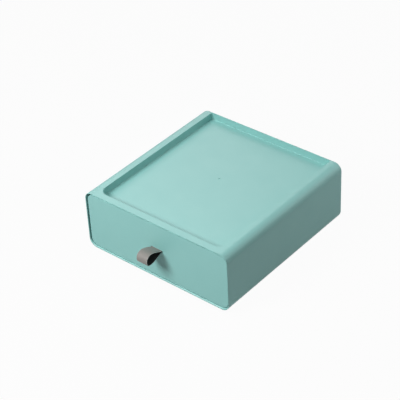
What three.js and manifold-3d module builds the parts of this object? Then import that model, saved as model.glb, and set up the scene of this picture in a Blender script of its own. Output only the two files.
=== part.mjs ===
// A desktop drawer box: an open-fronted moulded housing with a stacking tray in its top,
// a drawer that slides out of the front, and a strap loop to pull it by.
// Lengths are in millimetres, +Z is up and the drawer opens towards -Y.

import * as THREE from "three";
import { mergeVertices } from "three/addons/utils/BufferGeometryUtils.js";
import Module from "manifold-3d";

const wasm = await Module();
wasm.setup();

// Housing: one moulded shell, closed at the rear and open at the front
const housingWidth = 180;
const housingDepth = 187;
const housingHeight = 67; // the shell alone, without the feet
const housingWall = 1.6;
const housingCornerRadius = 9;
const frontEdgeRound = 0.3;
const mouthEdgeRound = 0.8;
const rearEdgeRound = 2.5;
const cavityRearRound = 1.5;
const sillHeight = 1.5; // of the low sill across the mouth, above the housing's floor
const sillThickness = 2.2;
const sillEdgeRound = 0.8;

// Stacking tray sunk into the top of the housing
const trayDepth = 8;
const traySideRim = 13;
const trayFrontRim = 8.5;
const trayRearRim = 2;
const trayFrontCornerRadius = 9;
const trayRearCornerRadius = 2.5;
const trayWallDraft = 0.3;
const trayFloorCove = 0.6;
const trayRimRound = 0.5;

// Runners moulded on the housing's floor
const runnerHeight = 2.3;
const runnerWidth = 3;
const runnerInset = 24; // from the housing's side wall
const runnerFrontInset = 6;
const runnerRearInset = 20;

// Feet moulded under the housing, each with a pocket for a pad
const footRadius = 8;
const footHeight = 3;
const footDraft = 0.4;
const stackClearance = 0.8;
const padRadius = 5.5;
const padThickness = 1.5;
const padEdgeRound = 0.3;
const padPocketDepth = 0.8;

// Drawer: a tray body behind a taller front panel
const panelThickness = 2.5;
const panelSideGap = 0.95;
const panelTopGap = 0.4;
const panelCornerRadius = 7;
const panelEdgeRound = 0.4;
const bodyWall = 1.8;
const bodyFloor = 1.8;
const bodySideGap = 1.6;
const bodyTopGap = 1;
const bodyRearGap = 0.5;
const bodyDraft = 0.7;
const bodyCornerRadius = 6;
const bodyBottomRound = 3;
const bodyFloorFillet = 2;
const drawerShift = 0.65; // the drawer's side play leaves it this far right of the housing's middle

// Strap: a leatherette band folded into a loop, its two tails clamped behind the panel
const strapWidth = 13;
const strapThickness = 1.1;
const strapShift = 0.55; // the strap sits this far right of the drawer's middle
const slotHeight = 31.7; // of the slot's middle above the panel's lower edge
const slotClearance = 0.35;
const slotCornerRadius = 0.7;
const loopReach = 21.6; // of the band's middle, out from the front face
const loopRise = 6;
const loopReachShares = [0.3, 0.64, 0.91, 1, 0.93, 0.75, 0.4];
const loopRiseShares = [0.66, 1.03, 0.74, 0.08, -0.64, -0.92, -0.66];
const tailLength = 10;
const tailBendRadius = 2.4;

// Retainer plate and screws that clamp the tails
const retainerLength = 32;
const retainerHeight = 8;
const retainerThickness = 1.8;
const retainerCornerRadius = 1.5;
const screwSpacing = 23;
const bossRadius = 3;
const screwShankRadius = 1.1;
const screwHeadRadius = 2.3;
const screwHeadHeight = 1.5;
const screwHeadRound = 0.6;
const screwDepth = 3.3; // into the boss
const screwTipHeight = 0.8;
const pilotSpare = 0.5; // empty depth below the screw's tip

// Clearances and facets
const seatGap = 0.3; // between pieces that rest on each other
const screwClearance = 0.3;
const overrun = 1; // of every cutter past the face it leaves by
const cornerSteps = 6;
const edgeSteps = 3;
const roundSides = 32;
const loopSteps = 36;

// Derived heights of the housing, above its own underside
const trayFloorZ = housingHeight - trayDepth;
const ceilingZ = trayFloorZ - housingWall;
const cavityHalfWidth = housingWidth / 2 - housingWall;
const cavityRearY = housingDepth - housingWall;
const runnerTopZ = housingWall + runnerHeight;

// Derived sizes of the drawer, in the housing's frame: y from the front face, z from the shell's underside
const panelBottomZ = runnerTopZ + seatGap;
const panelTopZ = housingHeight - housingWall - panelTopGap;
const panelHalfWidth = cavityHalfWidth - panelSideGap;
const bodyTopZ = ceilingZ - bodyTopGap;
const bodyHalfWidth = cavityHalfWidth - bodySideGap;
const bodyRearY = cavityRearY - bodyRearGap;
const slotZ = panelBottomZ + slotHeight;

// Derived places of the strap's parts, out from the front face
const foldThickness = 2 * strapThickness;
const pivotReach = foldThickness / 2 + seatGap;
const tailFaceY = panelThickness + seatGap;
const retainerFaceY = tailFaceY + foldThickness + seatGap;
const retainerBackY = retainerFaceY + retainerThickness;
const bossHeight = retainerFaceY - seatGap - panelThickness;
const clampZ = slotZ - foldThickness / 2 - tailLength / 2;

// Derived places of the whole object: it stands on its pads, centred over the origin
const padDrop = seatGap + padThickness - padPocketDepth;
const shellZ = footHeight + padDrop;
const overallReach = loopReach + strapThickness / 2;
const frontY = (overallReach - housingDepth) / 2;

// Finishes
const mint = { color: 0x8fc3bd, roughness: 0.62, metalness: 0 };
const mintDrawer = { color: 0x8dc1bb, roughness: 0.6, metalness: 0 };
const greyLeatherette = { color: 0x868c87, roughness: 0.78, metalness: 0 };
const greyPlastic = { color: 0x9aa3a1, roughness: 0.55, metalness: 0 };
const zincSteel = { color: 0xb8bcbf, roughness: 0.35, metalness: 0.9 };
const softPad = { color: 0xd9dbd8, roughness: 0.9, metalness: 0 };

// A three.js geometry as a manifold solid that faces outwards.
function solidOf(geometry) {
  const bare = new THREE.BufferGeometry();
  bare.setAttribute("position", geometry.getAttribute("position"));
  bare.setIndex(geometry.getIndex());
  const merged = mergeVertices(bare);
  const vertProperties = merged.getAttribute("position").array;
  const triVerts = Uint32Array.from(merged.getIndex().array);
  const made = new wasm.Manifold(new wasm.Mesh({ numProp: 3, vertProperties, triVerts }));
  if (made.volume() > 0) {
    return made;
  }
  triVerts.reverse();
  return new wasm.Manifold(new wasm.Mesh({ numProp: 3, vertProperties, triVerts }));
}

// A manifold solid as a named mesh with its own finish.
function meshOf(name, solid, finish) {
  const { vertProperties, triVerts } = solid.getMesh();
  const geometry = new THREE.BufferGeometry();
  geometry.setAttribute("position", new THREE.BufferAttribute(Float32Array.from(vertProperties), 3));
  geometry.setIndex(new THREE.BufferAttribute(Uint32Array.from(triVerts), 1));
  geometry.computeVertexNormals();
  const mesh = new THREE.Mesh(geometry, new THREE.MeshStandardMaterial(finish));
  mesh.name = name;
  return mesh;
}

// A rectangle with round corners as a ring of points. The radii go round from the corner
// at the high end of both axes, anticlockwise.
function roundedRing(low, high, radii, steps = cornerSteps) {
  const corners = [
    [high.x, high.y, -1, -1],
    [low.x, high.y, 1, -1],
    [low.x, low.y, 1, 1],
    [high.x, low.y, -1, 1],
  ];
  return corners.flatMap(([x, y, towardsX, towardsY], corner) => {
    const radius = radii[corner];
    const centre = new THREE.Vector2(x + towardsX * radius, y + towardsY * radius);
    return Array.from({ length: steps + 1 }, (_, step) => {
      const angle = (corner + step / steps) * (Math.PI / 2);
      return new THREE.Vector2(Math.cos(angle), Math.sin(angle)).multiplyScalar(radius).add(centre);
    });
  });
}

// The same rectangle drawn in by an inset, its corners with it.
function insetRing(low, high, radii, inset) {
  const shift = new THREE.Vector2(inset, inset);
  const smaller = radii.map((radius) => radius - inset);
  return roundedRing(low.clone().add(shift), high.clone().sub(shift), smaller);
}

// The stations of a quarter round: how far along, and how far in.
function quarterRound(radius) {
  return Array.from({ length: edgeSteps + 1 }, (_, step) => {
    const angle = (step / edgeSteps) * (Math.PI / 2);
    return { along: radius * (1 - Math.cos(angle)), inset: radius * (1 - Math.sin(angle)) };
  });
}

// A closed skin over a row of convex rings that have the same number of points.
function loft(rings) {
  const count = rings[0].length;
  const index = [];
  for (let ring = 0; ring + 1 < rings.length; ring += 1) {
    for (let point = 0; point < count; point += 1) {
      const here = ring * count + point;
      const next = ring * count + ((point + 1) % count);
      index.push(here, next, next + count);
      index.push(here, next + count, here + count);
    }
  }
  const last = (rings.length - 1) * count;
  for (let point = 1; point + 1 < count; point += 1) {
    index.push(0, point + 1, point);
    index.push(last, last + point, last + point + 1);
  }
  const geometry = new THREE.BufferGeometry().setFromPoints(rings.flat());
  geometry.setIndex(index);
  return solidOf(geometry);
}

const ringAtY = (ring, y) => ring.map((point) => new THREE.Vector3(point.x, y, point.y));
const ringAtZ = (ring, z) => ring.map((point) => new THREE.Vector3(point.x, point.y, z));
const allRound = (radius) => [radius, radius, radius, radius];

// An outline in x and z, pushed along +Y from a start.
function extrudeAlongY(outline, startY, length) {
  const geometry = new THREE.ExtrudeGeometry(outline, { depth: length, bevelEnabled: false });
  geometry.rotateX(Math.PI / 2);
  geometry.translate(0, startY + length, 0);
  return solidOf(geometry);
}

// An outline in y and z, pushed along X and centred on it.
function extrudeAcrossX(outline, width, steps = 1) {
  const geometry = new THREE.ExtrudeGeometry(outline, { depth: width, bevelEnabled: false, steps });
  const xAxis = new THREE.Vector3(1, 0, 0);
  const yAxis = new THREE.Vector3(0, 1, 0);
  const zAxis = new THREE.Vector3(0, 0, 1);
  geometry.applyMatrix4(new THREE.Matrix4().makeBasis(yAxis, zAxis, xAxis));
  geometry.translate(-width / 2, 0, 0);
  return solidOf(geometry);
}

// A round piece turned about the Y axis from a profile of [radius, y] pairs.
function turnedAlongY(profile) {
  const points = profile.map(([radius, y]) => new THREE.Vector2(radius, y));
  return solidOf(new THREE.LatheGeometry(points, roundSides));
}

// The same round piece stood up, from a profile of [radius, z] pairs.
function turned(profile) {
  return turnedAlongY(profile).rotate([90, 0, 0]);
}

const joined = (pieces) => pieces.reduce((whole, piece) => whole.add(piece));

// The housing's outside: its section carried from the front edge to the rounded rear edge.
function housingOutside() {
  const low = new THREE.Vector2(-housingWidth / 2, 0);
  const high = new THREE.Vector2(housingWidth / 2, housingHeight);
  const radii = allRound(housingCornerRadius);
  const front = quarterRound(frontEdgeRound);
  const rear = quarterRound(rearEdgeRound).reverse();
  return loft([
    ...front.map(({ along, inset }) => ringAtY(insetRing(low, high, radii, inset), along)),
    ...rear.map(({ along, inset }) => ringAtY(insetRing(low, high, radii, inset), housingDepth - along)),
  ]);
}

// The drawer's space, flared at the mouth so that the wall's inner edge is rounded too.
function housingCavity() {
  const low = new THREE.Vector2(-cavityHalfWidth, housingWall);
  const high = new THREE.Vector2(cavityHalfWidth, housingHeight - housingWall);
  const radii = allRound(housingCornerRadius - housingWall);
  const rear = quarterRound(cavityRearRound).reverse();
  const mouth = quarterRound(mouthEdgeRound).reverse();
  return loft([
    ringAtY(insetRing(low, high, radii, -mouthEdgeRound), -overrun),
    ...mouth.map(({ along, inset }) => ringAtY(insetRing(low, high, radii, -along), inset)),
    ...rear.map(({ along, inset }) => ringAtY(insetRing(low, high, radii, inset), cavityRearY - along)),
  ]);
}

// A low sill across the mouth, which stiffens the thin floor and closes the gap below the drawer.
function mouthSill() {
  const top = housingWall + sillHeight;
  const outline = new THREE.Shape();
  outline.moveTo(0, -overrun);
  outline.lineTo(sillThickness, -overrun);
  outline.lineTo(sillThickness, top);
  outline.lineTo(sillEdgeRound, top);
  outline.absarc(sillEdgeRound, top - sillEdgeRound, sillEdgeRound, Math.PI / 2, Math.PI, false);
  outline.closePath();
  return extrudeAcrossX(outline, housingWidth).intersect(housingOutside());
}

// The plan of the stacking tray at its rim: two tight rear corners, two wide front ones
const trayRadii = [trayRearCornerRadius, trayRearCornerRadius, trayFrontCornerRadius, trayFrontCornerRadius];
const trayLow = new THREE.Vector2(-housingWidth / 2 + traySideRim, trayFrontRim);
const trayHigh = new THREE.Vector2(housingWidth / 2 - traySideRim, housingDepth - trayRearRim);

// The hollow of the stacking tray: a coved floor, walls with a little draft and a rounded rim.
function trayHollow() {
  const trayRing = (inset, z) => ringAtZ(insetRing(trayLow, trayHigh, trayRadii, inset), z);
  const cove = quarterRound(trayFloorCove);
  const rim = quarterRound(trayRimRound);
  return loft([
    ...cove.map(({ along, inset }) => trayRing(trayWallDraft + inset, trayFloorZ + along)),
    ...rim.map(({ along, inset }) => trayRing(-along, housingHeight - inset)),
    trayRing(-trayRimRound, housingHeight + overrun),
  ]);
}

// What the tray takes out of the drawer's space: its hollow grown by the wall.
function trayBody() {
  return loft([
    ringAtZ(insetRing(trayLow, trayHigh, trayRadii, trayWallDraft - housingWall), ceilingZ),
    ringAtZ(insetRing(trayLow, trayHigh, trayRadii, -housingWall), housingHeight),
  ]);
}

// A low rail with a rounded top that carries the drawer.
function runner(side) {
  const x = side * (cavityHalfWidth - runnerInset);
  const half = runnerWidth / 2;
  const outline = new THREE.Shape();
  outline.moveTo(x - half, housingWall - overrun);
  outline.lineTo(x + half, housingWall - overrun);
  outline.lineTo(x + half, runnerTopZ - half);
  outline.absarc(x, runnerTopZ - half, half, 0, Math.PI, false);
  outline.closePath();
  return extrudeAlongY(outline, runnerFrontInset, cavityRearY - runnerRearInset - runnerFrontInset);
}

// The middles of the four feet, so that they drop into the corners of the tray of a box below.
function footPlaces() {
  const inset = stackClearance + footRadius;
  const x = trayHigh.x - inset;
  return [
    { name: "front_left", x: -x, y: trayLow.y + inset },
    { name: "front_right", x, y: trayLow.y + inset },
    { name: "rear_left", x: -x, y: trayHigh.y - inset },
    { name: "rear_right", x, y: trayHigh.y - inset },
  ];
}

// One foot below the shell, with the pocket that its pad is stuck into.
function foot(place) {
  const boss = turned([
    [0, housingWall],
    [footRadius, housingWall],
    [footRadius, 0],
    [footRadius - footDraft, -footHeight],
    [0, -footHeight],
  ]);
  const pocketRadius = padRadius + seatGap;
  const pocket = turned([
    [0, -footHeight - overrun],
    [pocketRadius, -footHeight - overrun],
    [pocketRadius, -footHeight + padPocketDepth],
    [0, -footHeight + padPocketDepth],
  ]);
  return boss.subtract(pocket).translate([place.x, place.y, 0]);
}

function housing() {
  const drawerSpace = housingCavity().subtract(trayBody());
  const shell = housingOutside().subtract(drawerSpace).subtract(trayHollow());
  return joined([shell, mouthSill(), runner(-1), runner(1), ...footPlaces().map(foot)]);
}

// A round pad of soft foam, its lower edge eased.
function footPad() {
  const edge = padRadius - padEdgeRound;
  return turned([
    [0, 0],
    [edge, 0],
    [padRadius, padEdgeRound],
    [padRadius, padThickness],
    [0, padThickness],
  ]);
}

// The front panel: the shape of the housing's mouth less its gaps, with an eased front edge.
function drawerPanel() {
  const low = new THREE.Vector2(-panelHalfWidth, panelBottomZ);
  const high = new THREE.Vector2(panelHalfWidth, panelTopZ);
  const radii = allRound(panelCornerRadius);
  const front = quarterRound(panelEdgeRound);
  return loft([
    ...front.map(({ along, inset }) => ringAtY(insetRing(low, high, radii, inset), along)),
    ringAtY(roundedRing(low, high, radii), panelThickness),
  ]);
}

// The tray body's plan, drawn in by an inset, with corners that are square at the panel.
function bodyRing(inset, startY, z) {
  const low = new THREE.Vector2(-bodyHalfWidth + inset, startY);
  const high = new THREE.Vector2(bodyHalfWidth - inset, bodyRearY - inset);
  const rear = bodyCornerRadius - inset;
  return ringAtZ(roundedRing(low, high, [rear, rear, bodyWall / 2, bodyWall / 2]), z);
}

function drawerBodyOutside() {
  const joint = panelThickness / 2;
  const base = quarterRound(bodyBottomRound);
  return loft([
    ...base.map(({ along, inset }) => bodyRing(bodyDraft + inset, joint, panelBottomZ + along)),
    bodyRing(0, joint, bodyTopZ),
  ]);
}

// The inside of the drawer: the sides' and rear's draft, and a fillet round its floor.
function drawerHollow() {
  const floorZ = panelBottomZ + bodyFloor;
  const fillet = quarterRound(bodyFloorFillet);
  const hollowRing = (draft, inset, z) => {
    const low = new THREE.Vector2(-bodyHalfWidth + bodyWall + draft, panelThickness);
    const high = new THREE.Vector2(bodyHalfWidth - bodyWall - draft, bodyRearY - bodyWall - draft);
    return ringAtZ(insetRing(low, high, allRound(bodyCornerRadius - bodyWall), inset), z);
  };
  return loft([
    ...fillet.map(({ along, inset }) => hollowRing(bodyDraft, inset, floorZ + along)),
    hollowRing(0, 0, bodyTopZ),
    hollowRing(0, 0, panelTopZ + overrun),
  ]);
}

// The slot for the strap: as long and high as the folded band and a clearance all round.
function strapSlot() {
  const half = new THREE.Vector2(strapWidth / 2 + slotClearance, foldThickness / 2 + slotClearance);
  const middle = new THREE.Vector2(strapShift, slotZ);
  const low = middle.clone().sub(half);
  const high = middle.clone().add(half);
  const outline = new THREE.Shape(roundedRing(low, high, allRound(slotCornerRadius)));
  return extrudeAlongY(outline, -overrun, panelThickness + 2 * overrun);
}

const screwXs = [strapShift - screwSpacing / 2, strapShift + screwSpacing / 2];

// A boss behind the panel and the blind hole that its screw cuts into.
function screwBoss(x) {
  const boss = turnedAlongY([
    [0, panelThickness / 2],
    [bossRadius, panelThickness / 2],
    [bossRadius, panelThickness + bossHeight],
    [0, panelThickness + bossHeight],
  ]);
  return boss.translate([x, 0, clampZ]);
}

function screwHole(x) {
  const top = panelThickness + bossHeight;
  const radius = screwShankRadius + screwClearance;
  const hole = turnedAlongY([
    [0, top - screwDepth - pilotSpare],
    [radius, top - screwDepth - pilotSpare],
    [radius, top + overrun],
    [0, top + overrun],
  ]);
  return hole.translate([x, 0, clampZ]);
}

function drawer() {
  const body = drawerBodyOutside().add(drawerPanel());
  const open = body.subtract(drawerHollow().subtract(drawerPanel()));
  const bossed = joined([open, ...screwXs.map(screwBoss)]);
  return screwXs.map(screwHole).reduce((whole, hole) => whole.subtract(hole), bossed.subtract(strapSlot()));
}

// The loop's middle line, from the upper layer's root round the nose to the lower layer's root,
// as [outwards, up] from the hinge line at the slot.
function loopLine() {
  const root = strapThickness / 2;
  const points = loopReachShares.map(
    (share, i) => new THREE.Vector3(share * loopReach - pivotReach, loopRiseShares[i] * loopRise, 0),
  );
  const whole = [new THREE.Vector3(0, root, 0), ...points, new THREE.Vector3(0, -root, 0)];
  return new THREE.CatmullRomCurve3(whole, false, "centripetal");
}

// The loop: a band of even thickness along that line, closed by a round nose on the hinge line.
function pullLoop() {
  const line = loopLine();
  const outer = [];
  const inner = [];
  for (let step = 0; step <= loopSteps; step += 1) {
    const point = line.getPoint(step / loopSteps);
    const along = line.getTangent(step / loopSteps);
    const across = new THREE.Vector3(-along.y, along.x, 0).multiplyScalar(strapThickness / 2);
    outer.push(point.clone().add(across));
    inner.push(point.clone().sub(across));
  }
  const toOutline = (point) => new THREE.Vector2(-point.x, point.y);
  const outline = new THREE.Shape([...outer, ...inner.reverse()].map(toOutline));
  const band = extrudeAcrossX(outline, strapWidth);
  const noseOutline = new THREE.Shape();
  noseOutline.absarc(0, 0, foldThickness / 2, 0, 2 * Math.PI, false);
  const nose = extrudeAcrossX(noseOutline, strapWidth);
  return band.add(nose);
}

// The two tails as one folded piece: back through the slot, then down behind the panel.
function strapTails() {
  const half = foldThickness / 2;
  const backY = tailFaceY + foldThickness;
  const bendInner = tailBendRadius - foldThickness;
  const outline = new THREE.Shape();
  outline.moveTo(0, slotZ - half);
  outline.lineTo(tailFaceY - bendInner, slotZ - half);
  outline.absarc(tailFaceY - bendInner, slotZ - half - bendInner, bendInner, Math.PI / 2, 0, true);
  outline.lineTo(tailFaceY, slotZ - half - tailLength);
  outline.lineTo(backY, slotZ - half - tailLength);
  outline.lineTo(backY, slotZ + half - tailBendRadius);
  outline.absarc(backY - tailBendRadius, slotZ + half - tailBendRadius, tailBendRadius, 0, Math.PI / 2, false);
  outline.lineTo(0, slotZ + half);
  outline.closePath();
  return extrudeAcrossX(outline, strapWidth);
}

// The plate that presses the tails against the panel, with a clearance hole for each screw.
function strapRetainer() {
  const half = new THREE.Vector2(retainerLength / 2, retainerHeight / 2);
  const outline = new THREE.Shape(roundedRing(half.clone().negate(), half, allRound(retainerCornerRadius)));
  for (const side of [-1, 1]) {
    const hole = new THREE.Path();
    hole.absarc((side * screwSpacing) / 2, 0, screwShankRadius + screwClearance, 0, 2 * Math.PI, true);
    outline.holes.push(hole);
  }
  return extrudeAlongY(outline, 0, retainerThickness);
}

// A pan-head self-tapping screw: y = 0 is under the head, and the tip points to -Y.
function strapScrew() {
  const shankLength = seatGap + retainerThickness + seatGap + screwDepth;
  return turnedAlongY([
    [0, -shankLength],
    [screwShankRadius / 2, -shankLength],
    [screwShankRadius, -shankLength + screwTipHeight],
    [screwShankRadius, 0],
    [screwHeadRadius, 0],
    [screwHeadRadius, screwHeadHeight - screwHeadRound],
    [screwHeadRadius - screwHeadRound, screwHeadHeight],
    [0, screwHeadHeight],
  ]);
}

// The scene graph: the shell's frame holds the housing and the drawer, and the drawer holds its pull
const drawerBox = new THREE.Group();

const shellFrame = new THREE.Group();
shellFrame.position.set(0, frontY, shellZ);
drawerBox.add(shellFrame);
shellFrame.add(meshOf("housing", housing(), mint));

for (const place of footPlaces()) {
  const pad = meshOf(`foot_pad_${place.name}`, footPad(), softPad);
  pad.position.set(place.x, place.y, -shellZ);
  shellFrame.add(pad);
}

const drawerFrame = new THREE.Group();
drawerFrame.position.x = drawerShift;
shellFrame.add(drawerFrame);
drawerFrame.add(meshOf("drawer", drawer(), mintDrawer));

const tails = meshOf("strap_tails", strapTails(), greyLeatherette);
tails.position.x = strapShift;
drawerFrame.add(tails);

const loop = meshOf("pull_loop", pullLoop(), greyLeatherette);
loop.position.set(strapShift, -pivotReach, slotZ);
drawerFrame.add(loop);

const retainer = meshOf("strap_retainer", strapRetainer(), greyPlastic);
retainer.position.set(strapShift, retainerFaceY, clampZ);
drawerFrame.add(retainer);

["left", "right"].forEach((side, i) => {
  const screw = meshOf(`strap_screw_${side}`, strapScrew(), zincSteel);
  screw.position.set(screwXs[i], retainerBackY + seatGap, clampZ);
  drawerFrame.add(screw);
});

export default drawerBox;
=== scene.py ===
# %% [markdown]
# A stackable drawer box
#
# The object is a low box of moulded plastic. An open-fronted housing has a shallow
# tray sunk in its top, so that boxes can stand on each other. A drawer lies in the
# housing's mouth, all but flush, and a grey leatherette strap comes out of a slot in its
# front.
#
# The CAD model comes first, as a fixed frame. It says where every piece is and how it
# moves. This lesson builds a finer model round it, piece by piece, and dresses each one
# in the finish of the real thing.

# %% Load the frame
import math

import bmesh
import bpy
from mathutils import Matrix, Vector


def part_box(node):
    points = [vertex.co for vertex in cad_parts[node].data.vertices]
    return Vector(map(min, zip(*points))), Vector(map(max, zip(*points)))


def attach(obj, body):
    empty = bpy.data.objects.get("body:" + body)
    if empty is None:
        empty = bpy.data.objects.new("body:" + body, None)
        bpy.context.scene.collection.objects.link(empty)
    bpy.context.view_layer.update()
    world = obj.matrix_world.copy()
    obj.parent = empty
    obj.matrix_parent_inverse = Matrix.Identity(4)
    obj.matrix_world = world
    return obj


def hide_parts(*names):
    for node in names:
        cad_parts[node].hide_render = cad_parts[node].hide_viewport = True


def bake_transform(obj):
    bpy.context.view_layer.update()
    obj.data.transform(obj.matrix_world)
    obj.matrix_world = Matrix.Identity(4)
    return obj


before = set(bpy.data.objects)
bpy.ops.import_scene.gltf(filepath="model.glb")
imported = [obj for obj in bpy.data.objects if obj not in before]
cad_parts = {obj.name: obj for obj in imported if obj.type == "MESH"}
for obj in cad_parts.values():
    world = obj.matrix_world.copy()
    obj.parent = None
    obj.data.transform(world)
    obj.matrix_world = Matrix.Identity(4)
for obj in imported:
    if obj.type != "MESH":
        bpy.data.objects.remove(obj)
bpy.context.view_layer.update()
MM = 0.001

housing_low, housing_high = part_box("housing")
drawer_low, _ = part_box("drawer")

# %% [markdown]
# The camera
#
# A photograph fixes its camera: the long edges of the box meet in three vanishing
# points, and only one lens and one place give all three. Those numbers come from fitting
# the edges. The camera stands high on the right of the front, with a long lens and a
# slight roll. The lens and the sensor are in millimetres, as on a real camera.

# %% Set up the camera
camera_place = Vector((742.25, -860.84, 881.42)) * MM
camera_azimuth = math.radians(41.181)
camera_elevation = math.radians(36.181)
camera_roll = math.radians(-3.098)
camera_lens = 126.714
camera_sensor = 36

camera_data = bpy.data.cameras.new("photo_camera")
camera_data.lens = camera_lens
camera_data.sensor_width = camera_sensor
camera = bpy.data.objects.new("photo_camera", camera_data)
bpy.context.scene.collection.objects.link(camera)
turn_about_up = Matrix.Rotation(camera_azimuth, 4, "Z")
tip_down = Matrix.Rotation(math.pi / 2 - camera_elevation, 4, "X")
roll = Matrix.Rotation(camera_roll, 4, "Z")
camera.matrix_world = Matrix.Translation(camera_place) @ turn_about_up @ tip_down @ roll
bpy.context.scene.camera = camera
bpy.context.scene.view_settings.view_transform = "Standard"
print("camera", round(camera_place.length, 3), "m from the box")

# %% [markdown]
# The sizes
#
# Mouldings are made to drawings, so the lesson starts with one. Every length is a real
# size in millimetres. Places are measured from the shell: x from its middle, y from
# `front`, the plane of its mouth, and z from `base`, its underside above the feet.
#
# At the mouth the wall is thinner for a few millimetres, which makes the step that the
# drawer's panel lies in. The lower side has a low sill with a chamfer instead. The drawer
# has some play, and here it lies a little to the right and low, so the gap round its
# panel is widest at the left.

# %% Sizes of the housing and the drawer
foot_height = 3 * MM
front = drawer_low.y
base = housing_low.z + foot_height

shell_half_width = 90 * MM
shell_depth = 187 * MM
shell_height = 67 * MM
shell_corner = 9 * MM
wall = 1.6 * MM
front_edge = 0.3 * MM
rear_edge = 2.5 * MM
inner_rear_edge = 1.5 * MM

mouth_wall = 0.8 * MM
mouth_edge = 0.5 * MM
mouth_depth = 3.2 * MM
sill_top = 1.9 * MM
sill_rear = 2.2 * MM
sill_chamfer = 0.8 * MM

tray_depth = 8 * MM
tray_half_width = 77 * MM
tray_front = 7.8 * MM
tray_rear = 185 * MM
tray_corners = (2.5 * MM, 2.5 * MM, 9 * MM, 9 * MM)
least_corner_share = 1 / 8
tray_draft = 0.3 * MM
tray_side_cove = 0.5 * MM
tray_rear_cove = 0.6 * MM
tray_rim = 0.3 * MM

runner_height = 2.3 * MM
runner_half_width = 1.5 * MM
runner_place = 64 * MM
runner_ends = (6 * MM, 165 * MM)

panel_left = -87.35 * MM
panel_right = 88.75 * MM
panel_bottom = 2.8 * MM
panel_top = 64.75 * MM
panel_corner = 7.4 * MM
panel_edge = 0.3 * MM
panel_recess = 0.8 * MM
panel_rear = 2.5 * MM

body_middle = 0.65 * MM
body_half_width = 86.8 * MM
body_bottom = 4.2 * MM
body_rear = 184.9 * MM
body_top = 56.4 * MM
body_wall = 1.8 * MM
body_floor = 1.8 * MM
body_draft = 0.7 * MM
body_corner = 6 * MM
body_base_edge = 3 * MM
body_floor_fillet = 2 * MM
body_rim = 0.45 * MM

tray_floor_z = shell_height - tray_depth
ceiling_z = tray_floor_z - wall
print("shell top", round((base + shell_height) / MM, 2), "mm, CAD", round(housing_high.z / MM, 2))

# %% [markdown]
# Lofts
#
# A moulding is a few smooth hollows taken out of one smooth block. Each of them is a
# rectangle with round corners that grows or shrinks a little on its way through the
# piece, so one small function makes them all: it skins a row of outlines that have the
# same number of points. Many thin steps round each corner keep the highlights clean.

# %% Outlines and lofts
corner_steps = 14
edge_steps = 7
spare = 1 * MM
same_point = 0.001 * MM


def rounded_outline(low, high, radii, steps=corner_steps):
    """A rectangle with round corners, anticlockwise from the corner that is high both ways."""
    corners = ((high[0], high[1], -1, -1), (low[0], high[1], 1, -1),
               (low[0], low[1], 1, 1), (high[0], low[1], -1, 1))
    points = []
    for quarter, ((x, y, to_x, to_y), radius) in enumerate(zip(corners, radii)):
        for step in range(steps + 1):
            turn = (quarter + step / steps) * math.pi / 2
            points.append((x + radius * (to_x + math.cos(turn)), y + radius * (to_y + math.sin(turn))))
    return points


def drawn_in(low, high, radii, inset):
    """The same rectangle, smaller all round by an inset."""
    smaller = [radius - inset for radius in radii]
    return rounded_outline((low[0] + inset, low[1] + inset), (high[0] - inset, high[1] - inset), smaller)


def quarter_round(radius):
    """The steps of a rounded edge, as (how far along, how far in)."""
    turns = [step / edge_steps * math.pi / 2 for step in range(edge_steps + 1)]
    return [(radius * (1 - math.cos(turn)), radius * (1 - math.sin(turn))) for turn in turns]


def across(outline, y):
    """An outline in x and z, stood up at a distance behind the front."""
    return [Vector((x, front + y, base + z)) for x, z in outline]


def level(outline, z):
    """An outline in x and y, laid flat at a height above the shell's underside."""
    return [Vector((x, front + y, base + z)) for x, y in outline]


def piece_from(name, mesh_builder):
    """A new object in the scene, whose mesh is what mesh_builder holds."""
    bmesh.ops.recalc_face_normals(mesh_builder, faces=mesh_builder.faces)
    mesh = bpy.data.meshes.new(name)
    mesh_builder.to_mesh(mesh)
    mesh_builder.free()
    made = bpy.data.objects.new(name, mesh)
    bpy.context.scene.collection.objects.link(made)
    return made


def loft(name, rings):
    """A closed skin over a row of rings with the same number of points."""
    builder = bmesh.new()
    rows = [[builder.verts.new(point) for point in ring] for ring in rings]
    for row, next_row in zip(rows, rows[1:]):
        for i in range(len(row)):
            j = (i + 1) % len(row)
            builder.faces.new((row[i], row[j], next_row[j], next_row[i]))
    builder.faces.new(rows[0])
    builder.faces.new(rows[-1])
    bmesh.ops.remove_doubles(builder, verts=builder.verts, dist=same_point)
    return piece_from(name, builder)


def all_round(radius):
    """The same radius for all four corners."""
    return (radius,) * 4


print("steps: round a corner", corner_steps, "and over an edge", edge_steps)

# %% [markdown]
# The housing
#
# The real housing is one injection moulding. Here it is a block less two hollows: the
# drawer's space, which is open at the front, and the stacking tray, which is open at the
# top. The tray's own wall and floor hang down into the drawer's space, so they are taken
# out of that hollow first. The mouth is a shallow hollow of its own, a little wider than
# the drawer's space, with a rounded edge and a chamfered sill.

# %% The housing's block and hollows
def cove(radius, height):
    """How far a coved wall stands in at a height above the floor."""
    return radius - math.sqrt(radius ** 2 - (radius - height) ** 2) if height < radius else 0


shell_low, shell_high = (-shell_half_width, 0), (shell_half_width, shell_height)
shell_rings = [across(drawn_in(shell_low, shell_high, all_round(shell_corner), inset), along)
               for along, inset in quarter_round(front_edge)]
shell_rings += [across(drawn_in(shell_low, shell_high, all_round(shell_corner), inset), shell_depth - along)
                for along, inset in reversed(quarter_round(rear_edge))]
housing = loft("housing_shell", shell_rings)

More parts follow.
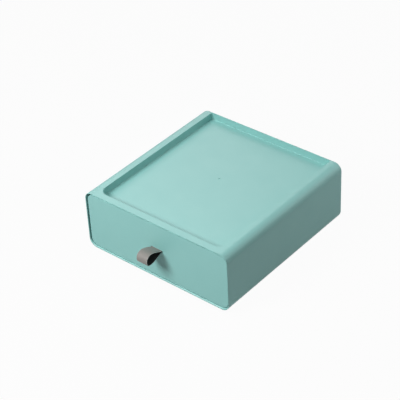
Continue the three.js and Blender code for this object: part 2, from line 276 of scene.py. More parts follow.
space_low, space_high = (-shell_half_width + wall, wall), (shell_half_width - wall, shell_height - wall)
space_corner = all_round(shell_corner - wall)
space_rings = [across(rounded_outline(space_low, space_high, space_corner), sill_rear)]
space_rings += [across(drawn_in(space_low, space_high, space_corner, inset), shell_depth - wall - along)
                for along, inset in reversed(quarter_round(inner_rear_edge))]
drawer_space = loft("drawer_space", space_rings)


def mouth_outline(flare, drop):
    """The mouth's outline, wider by a flare at the sides and the top, and lower by a drop."""
    low = (-shell_half_width + mouth_wall - flare, sill_top - drop)
    high = (shell_half_width - mouth_wall + flare, shell_height - mouth_wall + flare)
    return rounded_outline(low, high, all_round(shell_corner - mouth_wall + flare))


mouth_steps = sorted({along for along, _ in quarter_round(mouth_edge)} | {sill_chamfer})
mouth_rings = [across(mouth_outline(mouth_edge, sill_chamfer), -spare)]
mouth_rings += [across(mouth_outline(cove(mouth_edge, y), max(sill_chamfer - y, 0)), y) for y in mouth_steps]
mouth_rings.append(across(mouth_outline(0, 0), mouth_depth))
mouth = loft("mouth", mouth_rings)


def tray_outline(inset, rear_inset):
    """The tray's plan, smaller by an inset, with one of its own at the rear."""
    corners = [max(radius - inset, least_corner_share * radius) for radius in tray_corners]
    low = (-tray_half_width + inset, tray_front + inset)
    return rounded_outline(low, (tray_half_width - inset, tray_rear - rear_inset), corners)


def tray_plan(inset):
    """The tray's plan, smaller by the same inset all round."""
    return tray_outline(inset, inset)


tray_body = loft("tray_body", [level(tray_plan(tray_draft - wall), ceiling_z),
                               level(tray_plan(-wall), shell_height)])
cove_steps = sorted({along for radius in (tray_side_cove, tray_rear_cove)
                     for along, _ in quarter_round(radius)})
tray_rings = []
for rise in cove_steps:
    side, rear = tray_draft + cove(tray_side_cove, rise), tray_draft + cove(tray_rear_cove, rise)
    tray_rings.append(level(tray_outline(side, rear), tray_floor_z + rise))
tray_rings += [level(tray_plan(-along), shell_height - inset) for along, inset in quarter_round(tray_rim)]
tray_rings.append(level(tray_plan(-tray_rim), shell_height + spare))
tray_hollow = loft("tray_hollow", tray_rings)
print("tray", round(2 * tray_half_width / MM), "by", round((tray_rear - tray_front) / MM, 1), "mm")

# %% [markdown]
# Two rails on the housing's floor carry the drawer, and four round feet under the housing
# drop into the tray of the box below. They belong to the same moulding, so they are joined
# to it. A foot is a lathe turning: a profile spun round an upright axis. So are the pocket
# for its pad and the dimple in the middle of the tray's floor, the gate mark where the
# plastic ran into the mould.

# %% Runners and feet
lathe_sides = 64
foot_radius = 8 * MM
foot_tip_radius = 7.6 * MM
foot_edge = 0.4 * MM
pocket_radius = 5.8 * MM
pocket_depth = 0.8 * MM
gate_radius = 1.2 * MM
gate_depth = 0.6 * MM
gate_place = (-1.6 * MM, front + 102.9 * MM)
foot_row = 68.2 * MM
foot_ends = (17.3 * MM, 176.2 * MM)
foot_places = [(side * foot_row, front + y) for side in (-1, 1) for y in foot_ends]


def turned(name, profile, place=(0, 0, 0)):
    """A closed turning from (radius, height) pairs that start and end on the axis."""
    builder = bmesh.new()
    rings = []
    for radius, height in profile:
        count = lathe_sides if radius else 1
        turns = [2 * math.pi * i / count for i in range(count)]
        points = [Vector((radius * math.cos(turn), radius * math.sin(turn), height)) for turn in turns]
        rings.append([builder.verts.new(Vector(place) + point) for point in points])
    for ring, following in zip(rings, rings[1:]):
        for i in range(lathe_sides):
            j = (i + 1) % lathe_sides
            corners = [ring[i % len(ring)], ring[j % len(ring)]]
            corners += [following[j % len(following)], following[i % len(following)]]
            builder.faces.new(list(dict.fromkeys(corners)))
    return piece_from(name, builder)


def runner_outline(x):
    """A rail's section, round at the top, whose foot is sunk in the housing's floor."""
    half, middle = runner_half_width, wall + runner_height - runner_half_width
    turns = [math.pi * step / corner_steps for step in range(corner_steps + 1)]
    arc = [(x + half * math.cos(turn), middle + half * math.sin(turn)) for turn in turns]
    return arc + [(x - half, wall - spare), (x + half, wall - spare)]


runners = [loft("runner", [across(runner_outline(side * runner_place), y) for y in runner_ends])
           for side in (-1, 1)]
foot_profile = [(0, wall / 2), (foot_radius, wall / 2), (foot_radius, 0)]
foot_profile += [(foot_tip_radius - inset, -foot_height + along)
                 for along, inset in reversed(quarter_round(foot_edge))]
foot_profile.append((0, -foot_height))
pocket_profile = [(0, -foot_height - spare), (pocket_radius, -foot_height - spare),
                  (pocket_radius, -foot_height + pocket_depth), (0, -foot_height + pocket_depth)]
gate_profile = [(0, tray_floor_z + spare), (gate_radius, tray_floor_z + spare), (gate_radius, tray_floor_z),
                (gate_radius / 2, tray_floor_z - gate_depth), (0, tray_floor_z - gate_depth)]
feet = [turned("foot", foot_profile, (x, y, base)) for x, y in foot_places]
pockets = [turned("pocket", pocket_profile, (x, y, base)) for x, y in foot_places]
gate_mark = turned("gate_mark", gate_profile, (*gate_place, base))
print("feet", [(round(x / MM, 1), round(y / MM, 1)) for x, y in foot_places])

# %% [markdown]
# Blender's Boolean modifier cuts and joins, and its exact solver gives one closed
# surface, as a moulding has. The modifiers run in order, and the result is turned into a
# plain mesh. Its large faces are flat and its rounded edges are narrow, so weighted
# normals suit it: each corner's normal leans to the larger face, which keeps the flats
# flat and the edges soft.

# %% Cut, join and smooth
smooth_below = math.radians(32)


def made_plain(piece):
    """The piece with its modifiers worked into a plain mesh."""
    evaluated = piece.evaluated_get(bpy.context.evaluated_depsgraph_get())
    plain = bpy.data.meshes.new_from_object(evaluated)
    piece.modifiers.clear()
    piece.data = plain
    return piece


def worked(piece, operation, tools):
    """Cuts the tools out of the piece, or joins them to it, and clears them away."""
    for tool in tools:
        step = piece.modifiers.new(operation, "BOOLEAN")
        step.operation = operation
        step.solver = "EXACT"
        step.object = tool
    made_plain(piece)
    for tool in tools:
        bpy.data.objects.remove(tool)
    return piece


def smoothed(piece):
    """Soft shading over gentle bends only, with normals that follow the larger faces."""
    builder = bmesh.new()
    builder.from_mesh(piece.data)
    bmesh.ops.remove_doubles(builder, verts=builder.verts, dist=same_point)
    bmesh.ops.dissolve_degenerate(builder, edges=builder.edges, dist=same_point)
    for face in builder.faces:
        face.smooth = True
    for edge in builder.edges:
        edge.smooth = len(edge.link_faces) == 2 and edge.calc_face_angle() < smooth_below
    builder.to_mesh(piece.data)
    builder.free()
    step = piece.modifiers.new("larger faces lead", "WEIGHTED_NORMAL")
    step.keep_sharp = True
    return made_plain(piece)


worked(drawer_space, "UNION", [mouth])
worked(drawer_space, "DIFFERENCE", [tray_body])
worked(housing, "DIFFERENCE", [drawer_space, tray_hollow])
worked(housing, "UNION", runners + feet)
worked(housing, "DIFFERENCE", pockets + [gate_mark])
smoothed(housing)
print("housing", len(housing.data.polygons), "faces")

# %% [markdown]
# The drawer
#
# The drawer is another moulding: a tray with a taller panel in front of it. The panel
# is as large as the mouth less its gaps, and lies a little behind the mouth's edge. The
# tray behind it is lower, because the stacking tray hangs down into the housing.

# %% The drawer's tray and panel
panel_low = (panel_left, panel_bottom)
panel_high = (panel_right, panel_top)
panel_rings = [across(drawn_in(panel_low, panel_high, all_round(panel_corner), inset), panel_recess + along)
               for along, inset in quarter_round(panel_edge)]
panel_rings.append(across(rounded_outline(panel_low, panel_high, all_round(panel_corner)), panel_rear))
drawer = loft("drawer_moulding", panel_rings)


def body_outline(inset):
    """The plan of the drawer's tray, smaller by an inset, with round corners at the rear."""
    rear = body_corner - inset
    low = (body_middle - body_half_width + inset, panel_rear / 2)
    high = (body_middle + body_half_width - inset, body_rear - inset)
    return rounded_outline(low, high, (rear, rear, body_wall / 2, body_wall / 2))


body_rings = [level(body_outline(body_draft + inset), body_bottom + along)
              for along, inset in quarter_round(body_base_edge)]
body_rings += [level(body_outline(along), body_top - inset) for along, inset in quarter_round(body_rim)]
tray_part = loft("drawer_tray", body_rings)


def hollow_outline(draft, inset):
    """The plan of the drawer's hollow, which narrows by the draft and is drawn in by an inset."""
    low = (body_middle - body_half_width + body_wall + draft, panel_rear)
    high = (body_middle + body_half_width - body_wall - draft, body_rear - body_wall - draft)
    return drawn_in(low, high, all_round(body_corner - body_wall), inset)


hollow_rings = [level(hollow_outline(body_draft, inset), body_bottom + body_floor + along)
                for along, inset in quarter_round(body_floor_fillet)]
hollow_rings += [level(hollow_outline(0, -along), body_top - inset)
                 for along, inset in quarter_round(body_rim)]
hollow_rings.append(level(hollow_outline(0, -body_rim), panel_top + spare))
hollow = loft("drawer_hollow", hollow_rings)
panel_copy = loft("panel_copy", panel_rings)
worked(hollow, "DIFFERENCE", [panel_copy])
print("drawer tray", round(2 * body_half_width / MM, 1), "by", round(body_rear / MM, 1), "mm")

# %% [markdown]
# A slot in the panel takes the strap, and two bosses behind it take the screws of the
# plate that clamps the strap. The slot is cut straight through the panel. The bosses'
# axes run along the drawer, so a turning is laid over before it is joined.

# %% Slot, bosses and screw holes
strap_place = 1.2 * MM
strap_width = 13 * MM
band = 1.1 * MM
slot_z = 35.2 * MM
slot_play = 0.35 * MM
slot_side_play = 1.2 * MM
slot_corner = 0.7 * MM
screw_half_spacing = 11.5 * MM
clamp_z = 29.8 * MM
boss_radius = 3 * MM
boss_end = 5 * MM
screw_hole_radius = 1.4 * MM
screw_hole_start = 1.2 * MM

slot_half_width = strap_width / 2 + slot_side_play
slot_half_height = band + slot_play
slot_low = (strap_place - slot_half_width, slot_z - slot_half_height)
slot_high = (strap_place + slot_half_width, slot_z + slot_half_height)
slot_outline = rounded_outline(slot_low, slot_high, all_round(slot_corner))
slot_cut = loft("slot_cut", [across(slot_outline, y) for y in (-spare, panel_rear + spare)])
lie_back = Matrix.Rotation(-math.pi / 2, 4, "X")
screw_places = [Vector((strap_place + side * screw_half_spacing, front, base + clamp_z)) for side in (-1, 1)]


def laid_back(name, profile, place):
    """A turning whose axis runs towards the rear from a place on the front."""
    piece = turned(name, profile)
    piece.data.transform(Matrix.Translation(place) @ lie_back)
    return piece


boss_profile = [(0, panel_rear / 2), (boss_radius, panel_rear / 2), (boss_radius, boss_end), (0, boss_end)]
hole_profile = [(0, screw_hole_start), (screw_hole_radius, screw_hole_start),
                (screw_hole_radius, boss_end + spare), (0, boss_end + spare)]
bosses = [laid_back("boss", boss_profile, place) for place in screw_places]
screw_holes = [laid_back("screw_hole", hole_profile, place) for place in screw_places]
worked(drawer, "UNION", [tray_part])
worked(drawer, "DIFFERENCE", [hollow])
worked(drawer, "UNION", bosses)
worked(drawer, "DIFFERENCE", screw_holes + [slot_cut])
smoothed(drawer)
print("drawer", len(drawer.data.polygons), "faces")

# %% [markdown]
# Finishes
#
# A finish starts from what the real material is. Its colour is written as the eye reads
# it, in sRGB hex, and one function turns it linear. Patterns are sized in millimetres:
# a noise of scale 1 has features about a metre across, so a feature of some millimetres
# needs the scale 1000 over that size. A Mix node has sockets of the same name for
# numbers, vectors and colours, so those for colours are told by their place.

# %% Colours, scales and nodes
first_colour, second_colour, mixed_colour = 6, 7, 2


def linear(code):
    """An sRGB hex colour as linear red, green and blue with full alpha."""
    channels = [int(code[i:i + 2], 16) / 255 for i in (1, 3, 5)]
    return (*[c / 12.92 if c <= 0.04045 else ((c + 0.055) / 1.055) ** 2.4 for c in channels], 1)


def scale_for(feature):
    """The texture scale whose features are that many metres across."""
    return 1 / feature


def add(tree, kind, settings=None, inputs=None):
    """One node in the tree, with its settings, and its inputs set to values or joined to sockets."""
    made = tree.nodes.new(kind)
    for name, value in (settings or {}).items():
        setattr(made, name, value)
    for socket, value in (inputs or {}).items():
        if isinstance(value, bpy.types.NodeSocket):
            tree.links.new(value, made.inputs[socket])
        else:
            made.inputs[socket].default_value = value
    return made


def new_finish(name):
    """An empty node material and its tree."""
    finish = bpy.data.materials.new(name)
    finish.use_nodes = True
    finish.node_tree.nodes.clear()
    return finish, finish.node_tree


def in_one_finish(piece, finish):
    """Gives the piece one finish all over."""
    piece.data.materials.clear()
    piece.data.materials.append(finish)


print("a feature of 1 mm needs the scale", round(scale_for(1 * MM)))

# %% [markdown]
# Moulded plastic
#
# The housing and the drawer are polypropylene coloured in the mass. The mould was spark
# eroded, which leaves a very fine even grain and a soft sheen instead of a gloss. Larger,
# weaker waves come from the plastic shrinking as it cools. The grain is drawn coarser
# than the real 0.1 mm, so that it still shows. The plate that clamps the strap is hidden
# behind the panel, so it is moulded without the colour.

# %% Moulded plastic
grain_size = 0.45 * MM
grain_depth = 0.012 * MM
shrink_size = 45 * MM
shrink_depth = 0.05 * MM
cloud_size = 18 * MM
plastic_ior = 1.5


def moulded_plastic(name, colour, deeper, rough_low, rough_high):
    """Plastic with a spark-eroded grain, faint clouds of a deeper colour and slight waves."""
    finish, tree = new_finish(name)
    place = add(tree, "ShaderNodeTexCoord").outputs["Object"]
    clouds = add(tree, "ShaderNodeTexNoise", inputs={
        "Vector": place, "Scale": scale_for(cloud_size), "Detail": 3.0, "Roughness": 0.5})
    tint = add(tree, "ShaderNodeMix", {"data_type": "RGBA"}, {
        "Factor": clouds.outputs["Fac"], first_colour: linear(colour), second_colour: linear(deeper)})
    rough = add(tree, "ShaderNodeMapRange", inputs={
        "Value": clouds.outputs["Fac"], "To Min": rough_low, "To Max": rough_high})
    shrink = add(tree, "ShaderNodeTexNoise", inputs={
        "Vector": place, "Scale": scale_for(shrink_size), "Detail": 1.0})
    waves = add(tree, "ShaderNodeBump", inputs={"Height": shrink.outputs["Fac"], "Distance": shrink_depth})
    grain = add(tree, "ShaderNodeTexNoise", inputs={
        "Vector": place, "Scale": scale_for(grain_size), "Detail": 2.0, "Roughness": 0.6})
    spark = add(tree, "ShaderNodeBump", inputs={
        "Height": grain.outputs["Fac"], "Distance": grain_depth, "Normal": waves.outputs["Normal"]})
    plastic = add(tree, "ShaderNodeBsdfPrincipled", inputs={
        "Base Color": tint.outputs[mixed_colour], "Roughness": rough.outputs["Result"],
        "Normal": spark.outputs["Normal"], "IOR": plastic_ior})
    add(tree, "ShaderNodeOutputMaterial", inputs={"Surface": plastic.outputs["BSDF"]})
    return finish


sea_green_plastic = moulded_plastic("sea_green_moulded_plastic", colour="#8EC6C1", deeper="#8AC3BF",
                                    rough_low=0.45, rough_high=0.52)
natural_plastic = moulded_plastic("natural_grey_moulded_plastic", colour="#A3ABA9", deeper="#9CA4A2",
                                  rough_low=0.45, rough_high=0.55)
in_one_finish(housing, sea_green_plastic)
in_one_finish(drawer, sea_green_plastic)
print("plastics", sea_green_plastic.name, natural_plastic.name)

# %% [markdown]
# Leatherette
#
# The strap is leatherette: a grey polyurethane skin with a pebbled grain, on a black
# knitted backing. Its edges are cut, not folded, so they show both layers: the skin's
# paler inside, and the dark fibres of the backing below it. The pattern follows the band,
# so it reads the strap's own UV map, which is laid out in metres.

# %% Leatherette
pebble_size = 0.8 * MM
pebble_depth = 0.05 * MM
knit_size = 0.5 * MM
fibre_size = 0.3 * MM
fibre_depth = 0.03 * MM
mottle_size = 6 * MM


def leatherette(name, colour, deeper, roughness, cell, depth, sheen):
    """One layer of the band, in small cells: the skin's pebbles, the knit, or cut fibres."""
    finish, tree = new_finish(name)
    place = add(tree, "ShaderNodeUVMap", {"uv_map": "band"}).outputs["UV"]
    mottle = add(tree, "ShaderNodeTexNoise", inputs={
        "Vector": place, "Scale": scale_for(mottle_size), "Detail": 4.0})
    tint = add(tree, "ShaderNodeMix", {"data_type": "RGBA"}, {
        "Factor": mottle.outputs["Fac"], first_colour: linear(colour), second_colour: linear(deeper)})
    pebbles = add(tree, "ShaderNodeTexVoronoi", {"feature": "SMOOTH_F1"}, {
        "Vector": place, "Scale": scale_for(cell), "Smoothness": 0.6})
    relief = add(tree, "ShaderNodeBump", {"invert": True}, {
        "Height": pebbles.outputs["Distance"], "Distance": depth})
    skin = add(tree, "ShaderNodeBsdfPrincipled", inputs={
        "Base Color": tint.outputs[mixed_colour], "Roughness": roughness, "Normal": relief.outputs["Normal"],
        "Sheen Weight": sheen})
    add(tree, "ShaderNodeOutputMaterial", inputs={"Surface": skin.outputs["BSDF"]})
    return finish


strap_skin = leatherette("grey_leatherette_skin", colour="#8C8884", deeper="#827F7A",
                         roughness=0.6, cell=pebble_size, depth=pebble_depth, sheen=0.05)
strap_backing = leatherette("black_knitted_backing", colour="#1B1C1B", deeper="#121312",
                            roughness=0.95, cell=knit_size, depth=fibre_depth, sheen=0.0)
strap_cut = leatherette("cut_leatherette_edge", colour="#D2D0CC", deeper="#C0BEB9",
                        roughness=0.85, cell=fibre_size, depth=fibre_depth, sheen=0.0)
print("leatherettes", strap_skin.name, strap_backing.name, strap_cut.name)

# %% [markdown]
# Steel and rubber
#
# The screws are zinc-plated steel, with a faint bluish cloud in the plating. The pads are
# soft rubber, which is rough enough to have no highlight.

# %% Steel and rubber
plating_cloud = 1.5 * MM
plating_rough_low = 0.22
plating_rough_high = 0.38
rubber_speck = 0.6 * MM
rubber_relief = 0.02 * MM
rubber_roughness = 0.85


def plated_steel(name, colour, deeper):
    """Zinc-plated steel, clouded by the plating."""
    finish, tree = new_finish(name)
    place = add(tree, "ShaderNodeTexCoord").outputs["Object"]
    clouds = add(tree, "ShaderNodeTexNoise", inputs={
        "Vector": place, "Scale": scale_for(plating_cloud), "Detail": 3.0})
    tint = add(tree, "ShaderNodeMix", {"data_type": "RGBA"}, {
        "Factor": clouds.outputs["Fac"], first_colour: linear(colour), second_colour: linear(deeper)})
    rough = add(tree, "ShaderNodeMapRange", inputs={
        "Value": clouds.outputs["Fac"], "To Min": plating_rough_low, "To Max": plating_rough_high})
    steel = add(tree, "ShaderNodeBsdfPrincipled", inputs={
        "Base Color": tint.outputs[mixed_colour], "Metallic": 1.0, "Roughness": rough.outputs["Result"]})
    add(tree, "ShaderNodeOutputMaterial", inputs={"Surface": steel.outputs["BSDF"]})
    return finish


def soft_rubber(name, colour, deeper):
    """Dull rubber with fine specks."""
    finish, tree = new_finish(name)
    place = add(tree, "ShaderNodeTexCoord").outputs["Object"]
    specks = add(tree, "ShaderNodeTexNoise", inputs={
        "Vector": place, "Scale": scale_for(rubber_speck), "Detail": 2.0})
    tint = add(tree, "ShaderNodeMix", {"data_type": "RGBA"}, {
        "Factor": specks.outputs["Fac"], first_colour: linear(colour), second_colour: linear(deeper)})
    relief = add(tree, "ShaderNodeBump", inputs={"Height": specks.outputs["Fac"], "Distance": rubber_relief})
    rubber = add(tree, "ShaderNodeBsdfPrincipled", inputs={
        "Base Color": tint.outputs[mixed_colour], "Roughness": rubber_roughness,
        "Normal": relief.outputs["Normal"]})
    add(tree, "ShaderNodeOutputMaterial", inputs={"Surface": rubber.outputs["BSDF"]})
    return finish


screw_steel = plated_steel("zinc_plated_steel", colour="#C9CDD1", deeper="#BBC3CC")
pad_rubber = soft_rubber("soft_white_rubber", colour="#D8DAD7", deeper="#CFD1CE")
print("steel and rubber", screw_steel.name, pad_rubber.name)

# %% [markdown]
# The strap
#
# One band makes the loop and both tails. It comes up behind the panel, goes out through
# the slot as the upper layer, turns round in a drop shape and goes back in as the lower
# layer. Its middle line is drawn first, as points seen from the side, and smoothed into a
# curve. The tails and their bends lie straight and round where the slot and the clamp
# hold the band, and only the loop outside is listed point by point.

# %% The band's middle line
layer = band / 2
bend_place = (2.6 * MM, 33.9 * MM)
bend_steps = 8
tail_end_z = 24.8 * MM
tail_step = 2 * MM
tail_points = 5
loop_side_view = [(out * MM, up * MM) for out, up in (
    (1.6, 36.5), (4.4, 38.0), (8.8, 40.1), (13.0, 41.5), (16.4, 41.75), (19.3, 40.8), (21.0, 39.0),
    (21.55, 36.5), (21.35, 34.0), (19.6, 31.8), (16.4, 30.65), (12.65, 30.75), (8.85, 31.5),
    (4.9, 32.75), (1.6, 34.15))]
line_step = 0.5 * MM


def bend(radius, start, end):
    """Points of the bend behind the panel, from one angle to another."""
    y, z = bend_place
    turns = [math.radians(start + (end - start) * i / bend_steps) for i in range(bend_steps + 1)]
    return [(y + radius * math.cos(turn), z + radius * math.sin(turn)) for turn in turns]


def tail(radius):
    """Points of a tail, from its end up to the bend."""
    return [(bend_place[0] + radius, tail_end_z + i * tail_step) for i in range(tail_points)]


def smooth_curve(points, step):
    """A smooth curve through all the points, in about even steps."""
    padded = [points[0], *points, points[-1]]
    fine = []
    for a, b, c, d in zip(padded, padded[1:], padded[2:], padded[3:]):
        count = max(2, round(math.dist(b, c) / step))
        for i in range(count):
            t = i / count
            fine.append(tuple(0.5 * (2 * q + (r - p) * t + (2 * p - 5 * q + 4 * r - s) * t ** 2
                                     + (3 * q - p - 3 * r + s) * t ** 3) for p, q, r, s in zip(a, b, c, d)))
    return [*fine, points[-1]]


upper_radius, lower_radius = slot_z + layer - bend_place[1], slot_z - layer - bend_place[1]
in_slot = (1.9 * MM, 1.0 * MM, 0.0)
side_line = tail(upper_radius) + bend(upper_radius, 0, 90) + [(y, slot_z + layer) for y in in_slot]
side_line += [(-out, up) for out, up in loop_side_view]
side_line += [(y, slot_z - layer) for y in reversed(in_slot)] + bend(lower_radius, 90, 0)
side_line += reversed(tail(lower_radius))
band_line = smooth_curve(side_line, line_step)
band_length = sum(math.dist(a, b) for a, b in zip(band_line, band_line[1:]))
print("band", round(band_length / MM), "mm long,", len(band_line), "points")

# %% [markdown]
# A flat section with eased corners is carried along that line. It has a point on each
# side where the skin meets the backing, so every face belongs to one layer only. The real
# loop leans a little to the right, and so does this one. The band is drawn a little
# thinner than it is, so that the two tails lie on each other without sharing a face.

# %% The band round its line
band_shown = 1.04 * MM
band_corner = 0.15 * MM
flat_share = 1 / 8
skin_thickness = 0.45 * MM
strap_skew = 1.0 * MM
section_steps = 3
skin_index, backing_index, cut_index = 0, 1, 2
loop_reach = max(out for out, _ in loop_side_view)
section_low, section_high = (-strap_width / 2, -band_shown / 2), (strap_width / 2, band_shown / 2)
section = rounded_outline(section_low, section_high, all_round(band_corner), section_steps)
skin_starts = section_high[1] - skin_thickness
section.insert(2 * (section_steps + 1), (section_low[0], skin_starts))
section.append((section_high[0], skin_starts))


def strap_band():
    """The band as one closed skin, with its own map in metres and a finish for each layer."""
    builder = bmesh.new()
    rings, along_at = [], []
    along = 0.0
    for i, (y, z) in enumerate(band_line):
        before, after = band_line[max(i - 1, 0)], band_line[min(i + 1, len(band_line) - 1)]
        run, rise = after[0] - before[0], after[1] - before[1]
        size = math.hypot(run, rise)
        outward = Vector((0, rise / size, -run / size))
        along += math.dist(before, (y, z))
        reach_share = max(-y, 0) / loop_reach
        middle = Vector((strap_place + strap_skew * reach_share ** 2, front + y, base + z))
        rings.append([builder.verts.new(middle + Vector((u, 0, 0)) + outward * v) for u, v in section])
        along_at.append(along)
    band_map = builder.loops.layers.uv.new("band")
    count = len(section)
    for row, (ring, following) in enumerate(zip(rings, rings[1:])):
        for i in range(count):
            j = (i + 1) % count
            face = builder.faces.new((ring[i], ring[j], following[j], following[i]))
            face.smooth = True
            middle_v = (section[i][1] + section[j][1]) / 2
            flat = abs(section[i][1] - section[j][1]) < flat_share * band_corner
            if middle_v > skin_starts:
                face.material_index = skin_index if flat else cut_index
            else:
                face.material_index = backing_index
            round_band = (section[i], section[j], section[j], section[i])
            along_band = (along_at[row], along_at[row], along_at[row + 1], along_at[row + 1])
            for corner, (u, v), length in zip(face.loops, round_band, along_band):
                corner[band_map].uv = (u + v, length)
    for ring in (rings[0], rings[-1]):
        builder.faces.new(ring).material_index = cut_index
    return piece_from("strap_band", builder)


strap = strap_band()
for finish in (strap_skin, strap_backing, strap_cut):
    strap.data.materials.append(finish)
strap_front = min(vertex.co.y for vertex in strap.data.vertices)
print("strap", len(strap.data.polygons), "faces, from", round(strap_front / MM, 1), "mm")

# %% [markdown]
# What holds the strap
#
# Behind the panel a small plate presses both tails flat, and a screw at each end holds
# it. The plate is a moulded bar with round corners and two holes. It is a loft like the
# large mouldings, and its edges are eased on the side that faces into the drawer.

# %% The retainer plate
plate_half_length = 16 * MM
plate_half_height = 4 * MM
plate_corner = 1.5 * MM
plate_edge = 0.4 * MM
plate_start = 5.3 * MM
plate_end = 7.1 * MM
plate_low = (strap_place - plate_half_length, clamp_z - plate_half_height)
plate_high = (strap_place + plate_half_length, clamp_z + plate_half_height)
plate_rings = [across(rounded_outline(plate_low, plate_high, all_round(plate_corner)), plate_start)]
plate_rings += [across(drawn_in(plate_low, plate_high, all_round(plate_corner), inset), plate_end - along)
                for along, inset in reversed(quarter_round(plate_edge))]
retainer = loft("retainer_plate", plate_rings)
plate_hole = [(0, plate_start - spare), (screw_hole_radius, plate_start - spare),
              (screw_hole_radius, plate_end + spare), (0, plate_end + spare)]
worked(retainer, "DIFFERENCE", [laid_back("plate_hole", plate_hole, place) for place in screw_places])
smoothed(retainer)
in_one_finish(retainer, natural_plastic)
print("plate", len(retainer.data.polygons), "faces")

# %% [markdown]
# The screws have a low round head with a cross recess. The pads are thin discs of rubber,
# glued into the feet's pockets, with a rounded lower edge. Both are turnings, and only
# one of each is made here. The recess is cut by two crossed bars.

# %% One screw, and one pad
shank_radius = 1.1 * MM
shank_tip = 1.75 * MM
shank_taper = 0.8 * MM
head_radius = 2.3 * MM
head_height = 1.5 * MM
head_round = 0.7 * MM
recess_half_width = 0.32 * MM
recess_half_length = 1.3 * MM
recess_depth = 0.8 * MM
seat_gap = 0.02 * MM
seat = plate_end + seat_gap
screw_profile = [(0, shank_tip), (shank_radius / 2, shank_tip), (shank_radius, shank_tip + shank_taper),
                 (shank_radius, seat), (head_radius, seat)]
screw_profile += [(head_radius - inset, seat + head_height - along)
                  for along, inset in reversed(quarter_round(head_round))]
screw_profile.append((0, seat + head_height))
screw = laid_back("one_screw", screw_profile, Vector((0, 0, 0)))
recess_start, recess_stop = seat + head_height - recess_depth, seat + head_height + spare


def recess_bar(half_x, half_z):
    """A bar along the screw's axis, for one arm of the cross recess."""
    outline = [(half_x, half_z), (-half_x, half_z), (-half_x, -half_z), (half_x, -half_z)]
    return loft("recess", [[Vector((x, y, z)) for x, z in outline] for y in (recess_start, recess_stop)])


recess_bars = [recess_bar(recess_half_length, recess_half_width),
               recess_bar(recess_half_width, recess_half_length)]
worked(screw, "DIFFERENCE", recess_bars)
smoothed(screw)

pad_radius = 5.5 * MM
pad_thickness = 1.77 * MM
pad_edge = 0.4 * MM
pad_showing = 1 * MM
pad_profile = [(0, 0)] + [(pad_radius - inset, along) for along, inset in quarter_round(pad_edge)]
pad_profile += [(pad_radius, pad_thickness), (0, pad_thickness)]
pad = smoothed(turned("one_pad", pad_profile))
print("screw", len(screw.data.polygons), "faces, pad", len(pad.data.polygons), "faces")

# %% [markdown]
# Copies in rows
#
# Screws and pads repeat, and a Geometry Nodes tree is made for that, so one tree serves
# both. It makes a line of points, sets a second line on each of them, puts a copy of the
# piece on every point, and ends in real geometry with its finish. The four pads are two
# rows of two, and the screws are one row.

# %% The tree of copies
copies = bpy.data.node_groups.new("copies_in_rows", "GeometryNodeTree")
copies.interface.new_socket(name="Copies", in_out="OUTPUT", socket_type="NodeSocketGeometry")
for socket_name, socket_type in (("Piece", "NodeSocketObject"), ("Start", "NodeSocketVector"),
                                 ("Along", "NodeSocketVector"), ("Along count", "NodeSocketInt"),
                                 ("Aside", "NodeSocketVector"), ("Aside count", "NodeSocketInt"),
                                 ("Finish", "NodeSocketMaterial")):
    copies.interface.new_socket(name=socket_name, in_out="INPUT", socket_type=socket_type)

given = add(copies, "NodeGroupInput").outputs
first_line = add(copies, "GeometryNodeMeshLine", {"mode": "OFFSET"}, {
    "Count": given["Along count"], "Start Location": given["Start"], "Offset": given["Along"]})
second_line = add(copies, "GeometryNodeMeshLine", {"mode": "OFFSET"}, {
    "Count": given["Aside count"], "Offset": given["Aside"]})
rows = add(copies, "GeometryNodeInstanceOnPoints", inputs={
    "Points": first_line.outputs["Mesh"], "Instance": second_line.outputs["Mesh"]})
row_points = add(copies, "GeometryNodeRealizeInstances", inputs={"Geometry": rows.outputs["Instances"]})
source = add(copies, "GeometryNodeObjectInfo", inputs={"Object": given["Piece"]})
placed = add(copies, "GeometryNodeInstanceOnPoints", inputs={
    "Points": row_points.outputs["Geometry"], "Instance": source.outputs["Geometry"]})
real = add(copies, "GeometryNodeRealizeInstances", inputs={"Geometry": placed.outputs["Instances"]})
finished = add(copies, "GeometryNodeSetMaterial", inputs={
    "Geometry": real.outputs["Geometry"], "Material": given["Finish"]})
add(copies, "NodeGroupOutput", inputs={"Copies": finished.outputs["Geometry"]})


def in_rows(name, piece, start, finish, along, along_count, aside, aside_count):
    """One mesh of copies of the piece, which is then cleared away."""
    holder = bpy.data.objects.new(name, bpy.data.meshes.new(name))
    bpy.context.scene.collection.objects.link(holder)
    step = holder.modifiers.new("copies", "NODES")
    step.node_group = copies
    values = {"Piece": piece, "Start": start, "Along": along, "Along count": along_count,
              "Aside": aside, "Aside count": aside_count, "Finish": finish}
    for item in copies.interface.items_tree:
        if item.in_out == "INPUT":
            step[item.identifier] = values[item.name]
    made_plain(holder)
    bpy.data.objects.remove(piece)
    return holder


screws = in_rows("strap_screws", screw, start=screw_places[0], finish=screw_steel,
                 along=(2 * screw_half_spacing, 0, 0), along_count=2, aside=(0, 0, 0), aside_count=1)
first_pad = (*foot_places[0], housing_low.z - pad_showing)
pad_spacing_x = foot_places[-1][0] - foot_places[0][0]
pad_spacing_y = foot_places[1][1] - foot_places[0][1]
pads = in_rows("foot_pads", pad, start=first_pad, finish=pad_rubber,
               along=(pad_spacing_x, 0, 0), along_count=2, aside=(0, pad_spacing_y, 0), aside_count=2)
print("copies", len(screws.data.polygons), "and", len(pads.data.polygons), "faces")

# %% [markdown]
# Floor and light
#
# The photograph shows the box on white, with almost no shadow. So the floor glows white,
# but only for rays that show it to the eye: its glow lights nothing. What is left of the
# floor is plain paper, which keeps a light shadow under the box.

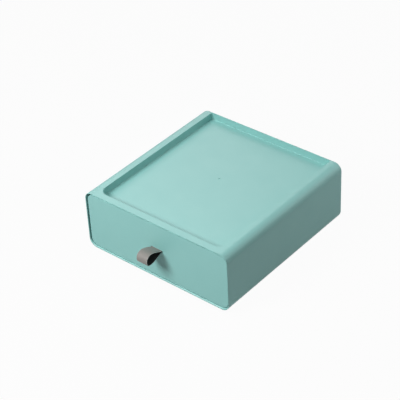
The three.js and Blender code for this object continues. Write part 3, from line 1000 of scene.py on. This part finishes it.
# %% Floor
def seen_directly(tree, share):
    """That share for rays that show a surface to the eye, straight or by reflection, and 0 for others."""
    rays = add(tree, "ShaderNodeLightPath").outputs
    total = rays["Is Camera Ray"]
    for kind in ("Is Glossy Ray", "Is Transmission Ray"):
        both = add(tree, "ShaderNodeMath", {"operation": "MAXIMUM"})
        tree.links.new(total, both.inputs[0])
        tree.links.new(rays[kind], both.inputs[1])
        total = both.outputs[0]
    scaled = add(tree, "ShaderNodeMath", {"operation": "MULTIPLY"})
    tree.links.new(total, scaled.inputs[0])
    scaled.inputs[1].default_value = share
    return scaled.outputs[0]


floor_half = 4.0
floor_glow = 0.96
floor_builder = bmesh.new()
bmesh.ops.create_grid(floor_builder, x_segments=1, y_segments=1, size=floor_half)
floor = piece_from("floor", floor_builder)
white_floor, floor_tree = new_finish("white_paper_floor")
paper = add(floor_tree, "ShaderNodeBsdfDiffuse", inputs={"Color": linear("#A8A8A8")})
bright = add(floor_tree, "ShaderNodeEmission", inputs={"Color": linear("#FFFFFF"), "Strength": 1.0})
mixed = add(floor_tree, "ShaderNodeMixShader", inputs={"Fac": seen_directly(floor_tree, floor_glow)})
floor_tree.links.new(paper.outputs[0], mixed.inputs[1])
floor_tree.links.new(bright.outputs[0], mixed.inputs[2])
add(floor_tree, "ShaderNodeOutputMaterial", inputs={"Surface": mixed.outputs[0]})
floor.data.materials.append(white_floor)
print("floor", round(2 * floor_half), "m wide, glow", floor_glow)

# %% [markdown]
# The room is white in the same way. The first shader of its mix stays empty, so the room
# lights nothing by itself, and the light on the box comes from four soft lamps. The key is
# small and near, a little left of the front and about forty degrees high, so the strap's
# shadow falls below it and to the right. A large weak lamp overhead fills the tray, and a
# low one at the rear right lights the right side. The last is a card at the rear left,
# which is seen only as a sheen on the plastic.

# %% Lights
aim_height = 35 * MM
world = bpy.data.worlds.new("white_room")
bpy.context.scene.world = world
world.use_nodes = True
room = world.node_tree
room.nodes.clear()
white_room = add(room, "ShaderNodeBackground", inputs={"Color": linear("#FFFFFF"), "Strength": 1.0})
room_mix = add(room, "ShaderNodeMixShader", inputs={"Fac": seen_directly(room, 1.0)})
room.links.new(white_room.outputs[0], room_mix.inputs[2])
add(room, "ShaderNodeOutputWorld", inputs={"Surface": room_mix.outputs[0]})


def softbox(name, direction, distance, size, power):
    """A square area light that faces the box from a direction."""
    light = bpy.data.lights.new(name, "AREA")
    light.size = size
    light.energy = power
    lamp = bpy.data.objects.new(name, light)
    bpy.context.scene.collection.objects.link(lamp)
    target = Vector((0, 0, aim_height))
    lamp.location = target + Vector(direction).normalized() * distance
    lamp.rotation_euler = (target - lamp.location).to_track_quat("-Z", "Y").to_euler()
    return lamp


softbox("key_softbox", direction=(-0.26, -0.755, 0.645), distance=1.0, size=0.34, power=8.15)
softbox("overhead_softbox", direction=(0.0, -0.1, 1.0), distance=1.4, size=1.4, power=7.6)
softbox("side_softbox", direction=(1.0, 1.6, 0.6), distance=0.8, size=0.5, power=2.1)
sheen_card = softbox("sheen_card", direction=(-0.6, 0.55, 0.6), distance=1.3, size=0.6, power=4.9)
sheen_card.visible_diffuse = False

# %% [markdown]
# What moves with what
#
# Every piece but the strap rides on the CAD body that it belongs to, and the CAD pieces
# that it replaces are hidden. The strap crosses a joint: its tails belong with the drawer
# and its loop swings. Here it stays fixed where it is made, and both of its CAD pieces are
# hidden.

# %% Ride and replace
pad_nodes = [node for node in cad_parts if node.startswith("foot_pad")]
screw_nodes = ["strap_screw_left", "strap_screw_right"]
riders = ((housing, "housing", "housing_plastic", ["housing"]),
          (pads, "housing", "foot_pad_rubber", pad_nodes),
          (drawer, "drawer", "drawer_plastic", ["drawer"]),
          (retainer, "drawer", "retainer_plastic", ["strap_retainer"]),
          (screws, "drawer", "screw_steel", screw_nodes))
for piece, body, slot_name, replaced in riders:
    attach(piece, body)
    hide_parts(*replaced)

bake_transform(strap)
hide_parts("strap_tails", "pull_loop")
